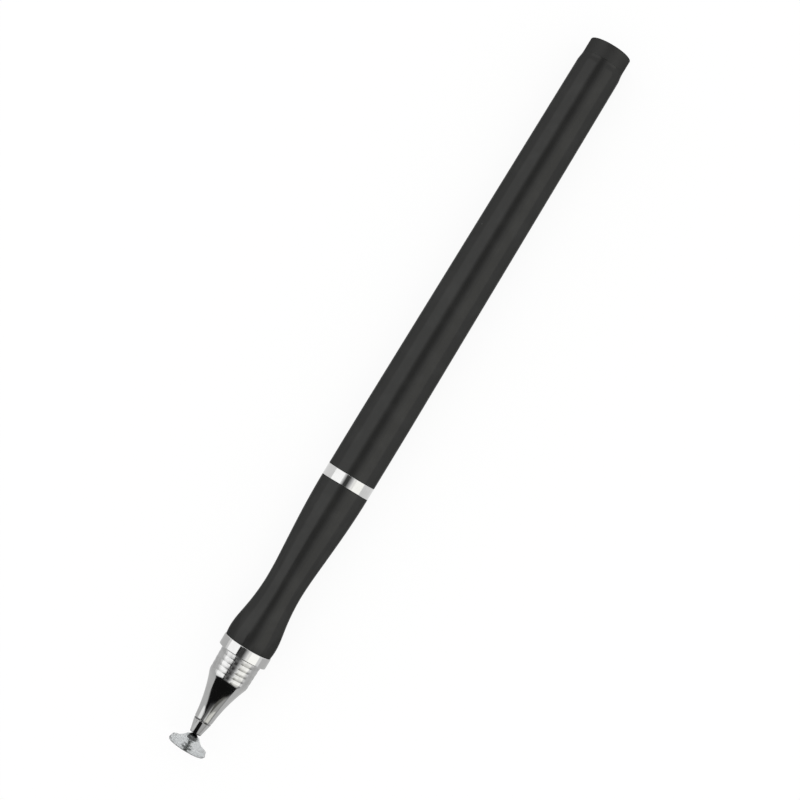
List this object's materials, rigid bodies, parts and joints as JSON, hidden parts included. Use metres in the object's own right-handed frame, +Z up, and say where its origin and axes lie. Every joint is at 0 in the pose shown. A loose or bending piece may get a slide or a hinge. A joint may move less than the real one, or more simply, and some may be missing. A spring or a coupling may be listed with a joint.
{
  "type": "stylus pen",
  "caption": "Slim capacitive stylus pen with a black tapered barrel, waisted grip, bright trim ring and ribbed nose, and a clear touch disc that swivels on a ball.",
  "frame": {"origin": "under the middle of the pen's length, on the surface that it lies on", "axes": "+X along the pen from the touch disc to the tail, +Z up"},
  "size_m": [0.1394, 0.009, 0.009],
  "materials": {
    "black_lacquer": "satin black lacquer on turned aluminium",
    "black_plastic": "satin black, matched to the barrel",
    "chrome": "bright chrome plating on turned brass",
    "clear_plastic": "clear polished plastic",
    "clear_film": "thin clear conductive film",
    "dark_metal": "dark polished steel",
    "steel": "turned steel",
    "spring_bronze": "rolled spring bronze",
    "brass": "turned brass",
    "rubber": "matt black rubber"
  },
  "bodies": {
    "pen": {"upper_barrel": "black_lacquer", "tail_plug": "black_plastic", "plug_ring": "rubber", "barrel_bush": "brass", "coupling_seal": "rubber", "coupling": "brass", "centre_ring": "chrome", "grip": "black_lacquer", "grip_bush": "brass", "nose_cone": "chrome", "nose_seal": "rubber", "tip_clip": "spring_bronze", "clip_plug": "brass"},
    "tip": {"tip_ferrule": "chrome", "tip_shank": "steel"},
    "pivot": {"pivot_pin": "steel", "pivot_ball": "dark_metal"},
    "disc": {"touch_disc": "clear_plastic", "disc_contact": "dark_metal", "disc_film": "clear_film"}
  },
  "joints": [
    {"name": "tip_pull", "type": "slide", "parent": "pen", "child": "tip", "axis": [-1, 0, 0], "range_m": [0, 0.0105]},
    {"name": "ball_swivel", "type": "hinge", "parent": "tip", "child": "pivot", "pos_m": [-0.06784, 0, 0.0045], "axis": [1, 0, 0], "continuous": true},
    {"name": "disc_tilt", "type": "hinge", "parent": "pivot", "child": "disc", "pos_m": [-0.06784, 0, 0.0045], "axis": [0, 1, 0], "range_deg": [-30, 30]}
  ]
}
